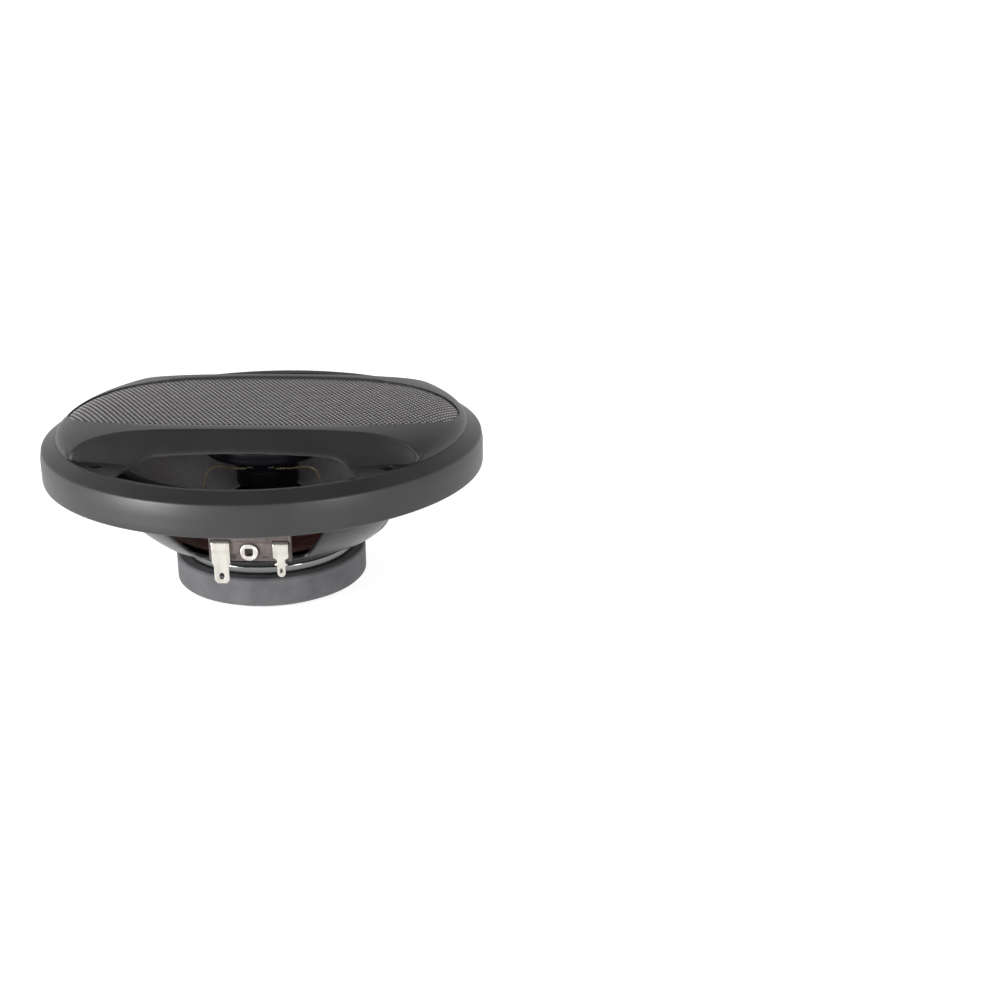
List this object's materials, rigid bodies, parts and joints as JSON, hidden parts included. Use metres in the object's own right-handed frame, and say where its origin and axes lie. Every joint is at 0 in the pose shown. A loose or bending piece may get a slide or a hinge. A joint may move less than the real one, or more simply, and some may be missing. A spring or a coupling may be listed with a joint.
{
  "type": "coaxial car speaker",
  "caption": "Round coaxial car speaker: woofer cone with a tweeter on a central post, ferrite motor, side terminals and a domed lift-off grille with a mesh band.",
  "frame": {"origin": "centre of the flat rear face of the rear plate, which the speaker stands on", "axes": "+Z along the cone axis out of the front, -Y towards the terminals, +X to the right when the terminals face the viewer"},
  "size_m": [0.176, 0.176, 0.0771],
  "materials": {
    "zinc_plate": "bright zinc plating",
    "ferrite": "ground ferrite, satin grey",
    "basket_paint": "semi-gloss black paint",
    "seal_foam": "black foam",
    "phenolic_board": "brown-grey laminate",
    "tinned_brass": "tin plating",
    "former_film": "amber film",
    "copper_wire": "enamelled copper",
    "cone_paper": "dark coated pulp",
    "surround_rubber": "matt black",
    "spider_cloth": "red-brown treated cloth",
    "tweeter_plastic": "near-black, satin",
    "dome_film": "thin film",
    "capacitor_sleeve": "shrink sleeve",
    "lead_braid": "braided tinned wire, beige",
    "moulded_black": "fine-textured black",
    "mesh_paint": "black powder coat"
  },
  "bodies": {
    "frame": {"rear_plate_and_pole": "zinc_plate", "magnet": "ferrite", "top_plate": "zinc_plate", "basket": "basket_paint", "mounting_seal": "seal_foam", "pan_stud_1": "zinc_plate", "pan_stud_2": "zinc_plate", "pan_stud_3": "zinc_plate", "pan_stud_4": "zinc_plate", "terminal_board": "phenolic_board", "terminal_positive": "tinned_brass", "terminal_negative": "tinned_brass", "board_rivet": "tinned_brass", "surround": "surround_rubber", "spider": "spider_cloth", "clamp_ring": "seal_foam", "tweeter_post": "tweeter_plastic", "tweeter_bolt": "zinc_plate", "tweeter_housing": "tweeter_plastic", "tweeter_cup": "zinc_plate", "tweeter_magnet": "ferrite", "tweeter_pole_plate": "zinc_plate", "tweeter_carrier": "tweeter_plastic", "tweeter_dome_roll": "dome_film", "tweeter_face_plate": "tweeter_plastic", "tweeter_capacitor": "capacitor_sleeve", "tweeter_tag_left": "tinned_brass", "tweeter_tag_right": "tinned_brass", "tweeter_lead_left": "lead_braid", "tweeter_lead_right": "lead_braid", "woofer_lead_left": "lead_braid", "woofer_lead_right": "lead_braid"},
    "cone_assembly": {"cone": "cone_paper", "voice_coil_former": "former_film", "voice_coil": "copper_wire"},
    "tweeter_diaphragm": {"tweeter_dome": "dome_film", "tweeter_coil": "copper_wire"},
    "grille": {"grille_frame": "moulded_black", "grille_mesh": "mesh_paint"}
  },
  "joints": [
    {"name": "cone_stroke", "type": "slide", "parent": "frame", "child": "cone_assembly", "axis": [0, 0, 1], "range_m": [-0.004, 0.004], "stiffness_N_per_m": 1800, "deforming": ["surround", "spider", "tweeter_lead_left", "tweeter_lead_right", "woofer_lead_left", "woofer_lead_right"]},
    {"name": "tweeter_dome_stroke", "type": "slide", "parent": "frame", "child": "tweeter_diaphragm", "axis": [0, 0, 1], "range_m": [-0.00025, 0.00025], "stiffness_N_per_m": 500, "deforming": ["tweeter_dome_roll"]},
    {"name": "grille_lift", "type": "slide", "parent": "frame", "child": "grille", "axis": [0, 0, 1], "range_m": [0, 0.045]}
  ]
}
